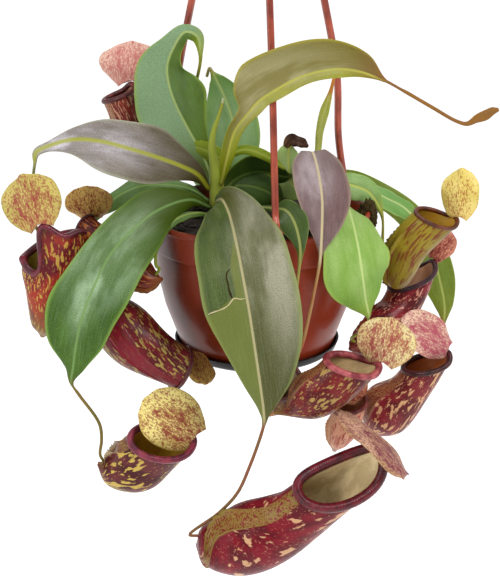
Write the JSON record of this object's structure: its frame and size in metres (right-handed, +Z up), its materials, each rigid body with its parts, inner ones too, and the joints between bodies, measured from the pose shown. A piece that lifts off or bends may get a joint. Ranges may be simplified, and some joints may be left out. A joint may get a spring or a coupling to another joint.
{
  "type": "hanging pitcher plant",
  "caption": "Tropical pitcher plant with long leaves and speckled hanging pitchers, in a plastic hanging pot with a drip saucer, clip-on hanger arms and a hook.",
  "frame": {"origin": "the inner top of the hook, where the rail or ceiling hook bears", "axes": "+Z up, -Y toward the viewer of the picture, +X to the viewer's right"},
  "size_m": [0.2842, 0.2204, 0.5275],
  "materials": {
    "terracotta_plastic": "glossy",
    "black_plastic": "satin",
    "soil": "rough, crumbly",
    "stem": "satin",
    "green_leaf": "waxy",
    "silver_leaf": "waxy with a silver sheen",
    "pitcher_wall": "satin, spotted",
    "pitcher_rim": "glossy, ribbed",
    "pitcher_lid": "satin, speckled"
  },
  "bodies": {
    "root": {"crown_stem": "stem", "drip_saucer": "black_plastic", "hanger_arm_front": "terracotta_plastic", "hanger_arm_left": "terracotta_plastic", "hanger_arm_right": "terracotta_plastic", "hanger_hook": "terracotta_plastic", "leaf_arching": "green_leaf", "leaf_back": "green_leaf", "leaf_back_left": "green_leaf", "leaf_far_right": "green_leaf", "leaf_front": "silver_leaf", "leaf_inner": "green_leaf", "leaf_left_low": "green_leaf", "leaf_left_silver": "silver_leaf", "leaf_low_left": "green_leaf", "leaf_narrow": "stem", "leaf_purple": "silver_leaf", "leaf_right_back": "green_leaf", "leaf_right_back_low": "green_leaf", "leaf_right_front": "green_leaf", "leaf_small_front": "green_leaf", "leaf_upright": "green_leaf", "leaf_upright_back": "green_leaf", "pitcher_behind_front_cup": "pitcher_wall", "pitcher_behind_front_rim_and_lid": "pitcher_rim", "pitcher_front_cup": "pitcher_wall", "pitcher_front_lid": "pitcher_lid", "pitcher_front_rim": "pitcher_rim", "pitcher_left_back_cup": "pitcher_wall", "pitcher_left_back_rim_and_lid": "pitcher_rim", "pitcher_left_cup": "pitcher_wall", "pitcher_left_front_cup": "pitcher_wall", "pitcher_left_front_lid": "pitcher_lid", "pitcher_left_front_rim": "pitcher_rim", "pitcher_left_lid": "pitcher_lid", "pitcher_left_low_cup": "pitcher_wall", "pitcher_left_low_lid": "pitcher_lid", "pitcher_left_low_rim": "pitcher_rim", "pitcher_left_rim": "pitcher_rim", "pitcher_right_front_cup": "pitcher_wall", "pitcher_right_front_lid": "pitcher_lid", "pitcher_right_front_rim": "pitcher_rim", "pitcher_right_low_cup": "pitcher_wall", "pitcher_right_low_lid": "pitcher_lid", "pitcher_right_low_rim": "pitcher_rim", "pitcher_right_mid_cup": "pitcher_wall", "pitcher_right_mid_lid": "pitcher_lid", "pitcher_right_mid_rim": "pitcher_rim", "pitcher_right_top_cup": "pitcher_wall", "pitcher_right_top_lid": "pitcher_lid", "pitcher_right_top_rim": "pitcher_rim", "pitcher_top_left_cup": "pitcher_wall", "pitcher_top_left_lid": "pitcher_lid", "pitcher_top_left_rim": "pitcher_rim", "pitcher_under_leaf_cup": "pitcher_wall", "pitcher_under_leaf_rim_and_lid": "pitcher_rim", "pot": "terracotta_plastic", "potting_soil": "soil", "side_shoot_stem": "stem"}
  },
  "joints": []
}
